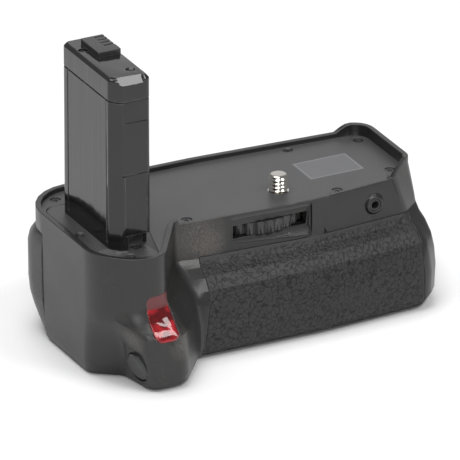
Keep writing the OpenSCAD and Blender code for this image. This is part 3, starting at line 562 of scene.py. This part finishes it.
# Upper housing: the deck frame with its rim, the front face and the lobe under the camera's hand grip
# in one black moulding, with the same spark texture, screwed down onto the lower housing.
rubbed_black = finish("rubbed_black", (0.011, 0.0108, 0.0107), (0.021, 0.0202, 0.0197), (0.29, 0.40), 0.00030,
                      0.00005, edge_wear_highlight=(0.07, 0.07, 0.068), dust=0.22,
                      scuffs=((-0.034, -0.0105, -0.0055, 0.011), (-0.030, -0.011, -0.0095, 0.007),
                              (-0.070, -0.033, -0.0255, 0.006), (-0.053, -0.036, -0.028, 0.006)))
upper_housing = refined("upper_housing", "grip", 0.00025, segments=3)
upper_housing.data.materials.append(rubbed_black)

# Turning mark: a plain arrow that stands a hair proud on the ledge under the wheel and shows which
# way the wheel tightens the camera screw. It is part of the moulding.
ledge_low = Vector((-0.0045, -0.0113, -0.01051))
ledge_tilt = math.atan2(0.0033, 0.0024)
arrow_length, arrow_width, arrow_height = 0.0042, 0.00042, 0.00022
bpy.ops.object.select_all(action="DESELECT")
bpy.ops.mesh.primitive_plane_add(size=1.0, location=(0.0, 0.0, 0.0))
turn_arrow = bpy.context.object
turn_arrow.name = "turn_arrow"
turn_arrow.scale = (arrow_length, arrow_width, 1.0)
bpy.ops.object.transform_apply(location=True, rotation=True, scale=True)
bpy.ops.mesh.primitive_circle_add(vertices=3, radius=0.0011, fill_type="NGON", location=(0.0026, 0.0, 0.0),
                                  rotation=(0.0, 0.0, math.radians(-90.0)))
bpy.ops.object.transform_apply(location=True, rotation=True, scale=True)
turn_arrow.select_set(True)
bpy.context.view_layer.objects.active = turn_arrow
bpy.ops.object.join()
bpy.ops.object.mode_set(mode="EDIT")
bpy.ops.mesh.select_all(action="SELECT")
bpy.ops.mesh.extrude_region_move(TRANSFORM_OT_translate={"value": (0.0, 0.0, arrow_height)})
bpy.ops.mesh.select_all(action="SELECT")
bpy.ops.mesh.normals_make_consistent(inside=False)
bpy.ops.object.mode_set(mode="OBJECT")
arrow_edge = turn_arrow.modifiers.new("edge", "BEVEL")
arrow_edge.width = 0.00008
arrow_edge.segments = 2
bpy.ops.object.modifier_apply(modifier="edge")
turn_arrow.matrix_world = Matrix.Translation(ledge_low) @ Matrix.Rotation(ledge_tilt, 4, "X")
bpy.ops.object.transform_apply(location=True, rotation=True, scale=True)
turn_arrow.data.materials.clear()
turn_arrow.data.materials.append(spark_black)
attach(turn_arrow, "grip")

# Infrared window: clear red acrylic, bent over the swell of the lobe and glued in from behind. Its
# upper part is frosted and the lower part polished.
red_acrylic = bpy.data.materials.new("red_acrylic")
red_acrylic.use_nodes = True
red_tree = red_acrylic.node_tree
red_shader = red_tree.nodes["Principled BSDF"]
red_shader.inputs["Transmission Weight"].default_value = 0.45
red_shader.inputs["IOR"].default_value = 1.49
red_shader.inputs["Coat Roughness"].default_value = 0.04
red_place = red_tree.nodes.new("ShaderNodeTexCoord").outputs["Object"]
red_level = red_tree.nodes.new("ShaderNodeSeparateXYZ")
red_tree.links.new(red_place, red_level.inputs[0])
red_frost = spread(red_tree, red_level.outputs["Z"], -0.0166, -0.0162)
red_wave = cloud(red_tree, red_place, 230.0, 1.5)
# The polished part's red is painted darker and brighter in patches that follow its surface wave: painted shade
# and painted light in the clear acrylic.
red_clear_painted_light = mixed(red_tree, spread(red_tree, red_wave, 0.42, 0.58), (0.16, 0.003, 0.005), (0.58, 0.02, 0.03))
red_colour = mixed(red_tree, red_frost, red_clear_painted_light, (0.22, 0.05, 0.055))
red_tree.links.new(red_colour, red_shader.inputs["Base Color"])
red_tree.links.new(spread(red_tree, red_frost, 0.0, 1.0, 0.05, 0.42), red_shader.inputs["Roughness"])
red_tree.links.new(spread(red_tree, red_frost, 0.0, 1.0, 0.2, 0.0), red_shader.inputs["Coat Weight"])
red_bump = red_tree.nodes.new("ShaderNodeBump")
red_bump.inputs["Distance"].default_value = 0.0002
red_tree.links.new(red_wave, red_bump.inputs["Height"])
red_tree.links.new(red_bump.outputs["Normal"], red_shader.inputs["Normal"])
ir_window = refined("ir_window", "grip", 0.0003, segments=3)
ir_window.data.materials.append(red_acrylic)

# Shutter button: a low black cap with a rounded rim, that slides in the guide of the lobe and is held
# in by its skirt.
shutter_button = refined("shutter_button", "button", 0.0003, segments=3)
shutter_button.data.materials.append(satin_black)

# Grip rubber: a sheet of black rubber moulded to the front of the grip and glued on. Its face is pressed
# with a leather grain of shallow creases, modelled here, with a finer grain in the finish.
leather_cells = 560.0
leather_bend = 700.0
leather_depth = 0.00016
groove_width = 0.14
plain_border = 0.0007
border_fade = 0.0008
grip_rubber = refined("grip_rubber", "grip", 0.0)
skin = grip_rubber.modifiers.new("skin", "REMESH")
skin.mode = "VOXEL"
skin.voxel_size = 0.00027
bpy.ops.object.modifier_apply(modifier="skin")
bpy.ops.object.shade_smooth()
face = grip_rubber.vertex_groups.new(name="face")
rubber_low, rubber_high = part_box("grip_rubber")
for point in grip_rubber.data.vertices:
    inside = min(point.co.x - rubber_low.x, rubber_high.x - point.co.x, rubber_high.z - point.co.z)
    if point.normal.y < -0.12 and inside > plain_border:
        face.add([point.index], min(1.0, (inside - plain_border) / border_fade), "REPLACE")
crease = grip_rubber.data.attributes.new("crease", "FLOAT", "POINT")
rubber_points = [(p.co.copy(), p.normal.copy(), sum(g.weight for g in p.groups))
                 for p in grip_rubber.data.vertices]
noise.seed_set(1)
rubber_depth = []
rubber_place = []
for place, way, weight in rubber_points:
    bent = place * leather_cells + noise.noise_vector(place * leather_bend) * 0.45
    near = noise.voronoi(bent, distance_metric="DISTANCE")[0]
    groove = weight * (1.0 - min(1.0, (near[1] - near[0]) / groove_width))
    rubber_depth.append(groove)
    rubber_place.extend(place - way * groove * leather_depth)
crease.data.foreach_set("value", rubber_depth)
grip_rubber.data.vertices.foreach_set("co", rubber_place)
grip_rubber.data.update()
leather_black = finish("leather_black", (0.024, 0.024, 0.0245), (0.037, 0.037, 0.038), (0.40, 0.52), 0.0006,
                       0.00008)
leather_tree = leather_black.node_tree
# The creases are also painted near black in the colour: a painted shade in the grooves.
painted_groove_shade = leather_tree.nodes.new("ShaderNodeAttribute")
painted_groove_shade.attribute_name = "crease"
leather_shader = leather_tree.nodes["Principled BSDF"]
leather_shader.inputs["Specular IOR Level"].default_value = 0.28
leather_top = leather_shader.inputs["Base Color"].links[0].from_socket
leather_tree.links.new(mixed(leather_tree, painted_groove_shade.outputs["Fac"], leather_top, (0.005, 0.005, 0.005)),
                       leather_shader.inputs["Base Color"])
grip_rubber.data.materials.append(leather_black)

# Seat plate: a stamped plate, painted satin black, let into the deck and held by six small screws. The
# label on it is left blank: a grey foil with a printed border.
satin_paint = finish("satin_paint", (0.042, 0.042, 0.0435), (0.052, 0.052, 0.0535), (0.40, 0.48), 0.0003,
                     0.00001, edge_wear_highlight=(0.11, 0.11, 0.11), edge_wear_highlight_width=0.0002, dust=0.25)
seat_plate = refined("seat_plate", "grip", 0.00006)
seat_plate.data.materials.append(satin_paint)
black_oxide = finish("black_oxide", (0.05, 0.05, 0.052), (0.10, 0.10, 0.105), (0.26, 0.42), 0.0003, 0.000006,
                     edge_wear_highlight=(0.34, 0.34, 0.35), edge_wear_highlight_width=0.0002, metallic=0.8)
seat_plate_screws = refined("seat_plate_screws", "grip", 0.00012)
seat_plate_screws.data.materials.append(black_oxide)
grey_foil = bpy.data.materials.new("grey_foil")
grey_foil.use_nodes = True
foil_tree = grey_foil.node_tree
foil_shader = foil_tree.nodes["Principled BSDF"]
foil_place = foil_tree.nodes.new("ShaderNodeSeparateXYZ")
foil_tree.links.new(foil_tree.nodes.new("ShaderNodeTexCoord").outputs["Object"], foil_place.inputs[0])
foil_low, foil_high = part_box("seat_label")
foil_sides = []
for axis, low, high in (("X", foil_low.x, foil_high.x), ("Y", foil_low.y, foil_high.y)):
    middle = sums(foil_tree, "SUBTRACT", foil_place.outputs[axis], (low + high) / 2.0)
    off_middle = sums(foil_tree, "ABSOLUTE", middle, 0.0)
    foil_sides.append(sums(foil_tree, "SUBTRACT", (high - low) / 2.0, off_middle))
foil_in = sums(foil_tree, "MINIMUM", foil_sides[0], foil_sides[1])
foil_line = sums(foil_tree, "MULTIPLY", spread(foil_tree, foil_in, 0.00055, 0.0006),
                 spread(foil_tree, foil_in, 0.0008, 0.00075))
foil_grain = placed(foil_tree, mould_grain, Size=0.0005)
foil_base = mixed(foil_tree, foil_grain.outputs["Tone"], (0.075, 0.076, 0.080), (0.105, 0.106, 0.110))
foil_colour = mixed(foil_tree, foil_line, foil_base, (0.20, 0.20, 0.205))
foil_rough = spread(foil_tree, foil_grain.outputs["Tone"], 0.2, 0.8, 0.34, 0.46)
foil_tree.links.new(foil_colour, foil_shader.inputs["Base Color"])
foil_tree.links.new(foil_rough, foil_shader.inputs["Roughness"])
seat_label = refined("seat_label", "grip", 0.00005, segments=1)
seat_label.data.materials.append(grey_foil)

# Battery tower: a base flange screwed into the deck in place of a battery door, a glossy black shell in
# the size of a flat cell, and a cap held by two screws, with a contact block and its four blades.
# The lighter edge colour here paints highlight lines along the tower's edges.
gloss_black = finish("gloss_black", (0.010, 0.010, 0.0105), (0.014, 0.014, 0.0145), (0.07, 0.12), 0.008,
                     0.00003, edge_wear_highlight=(0.12, 0.12, 0.12), edge_wear_highlight_width=0.0005)
gloss_tree = gloss_black.node_tree
gloss_draw = gloss_tree.nodes.new("ShaderNodeVectorMath")
gloss_draw.operation = "MULTIPLY"
gloss_draw.inputs[1].default_value = (1.0, 1.0, 0.03)
gloss_tree.links.new(gloss_tree.nodes.new("ShaderNodeTexCoord").outputs["Object"], gloss_draw.inputs[0])
gloss_lines = gloss_tree.nodes.new("ShaderNodeBump")
gloss_lines.inputs["Distance"].default_value = 0.00006
gloss_tree.links.new(cloud(gloss_tree, gloss_draw.outputs[0], 420.0, 3.0), gloss_lines.inputs["Height"])
gloss_shader = gloss_tree.nodes["Principled BSDF"]
gloss_tree.links.new(gloss_shader.inputs["Normal"].links[0].from_socket, gloss_lines.inputs["Normal"])
gloss_tree.links.new(gloss_lines.outputs["Normal"], gloss_shader.inputs["Normal"])
shell_low, shell_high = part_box("tower_shell")


def block(low, high):
    bpy.ops.object.select_all(action="DESELECT")
    bpy.ops.mesh.primitive_cube_add(size=1.0, location=[(a + b) / 2.0 for a, b in zip(low, high)])
    tool = bpy.context.object
    tool.scale = [b - a for a, b in zip(low, high)]
    bpy.ops.object.transform_apply(location=True, rotation=True, scale=True)
    return tool


pad_front = shell_low.y - 0.001
foot_pad = block((shell_high.x - 0.0089, pad_front, 0.0046),
                 (shell_high.x - 0.0012, shell_low.y + 0.00035, 0.0252))
neck_pad = block((shell_high.x - 0.0096, pad_front, 0.0433),
                 (shell_high.x - 0.0010, shell_low.y + 0.00030, 0.0520))
tower_base = refined("tower_base", "grip", 0.0002)
tower_base.data.materials.append(satin_paint)
tower_base_screws = refined("tower_base_screws", "grip", 0.00012)
tower_base_screws.data.materials.append(black_oxide)
tower_shell = refined("tower_shell", "grip", 0.00012, smooth=40.0, cuts=(foot_pad, neck_pad))
tower_shell.data.materials.append(gloss_black)
tower_cap = refined("tower_cap", "grip", 0.0002, smooth=40.0, flat=True)
tower_cap.data.materials.append(gloss_black)
tower_cap_screws = refined("tower_cap_screws", "grip", 0.00012)
tower_cap_screws.data.materials.append(black_oxide)
tower_contact_block = refined("tower_contact_block", "grip", 0.0003)
tower_contact_block.data.materials.append(satin_black)
tower_contacts = refined("tower_contacts", "grip", 0.0001)
tower_contacts.data.materials.append(gold_plate)

# Housing screws: four black cross-recess screws in deep counterbores of the base, which pull the two
# housings together.
housing_screws = refined("housing_screws", "grip", 0.0002)
housing_screws.data.materials.append(black_oxide)
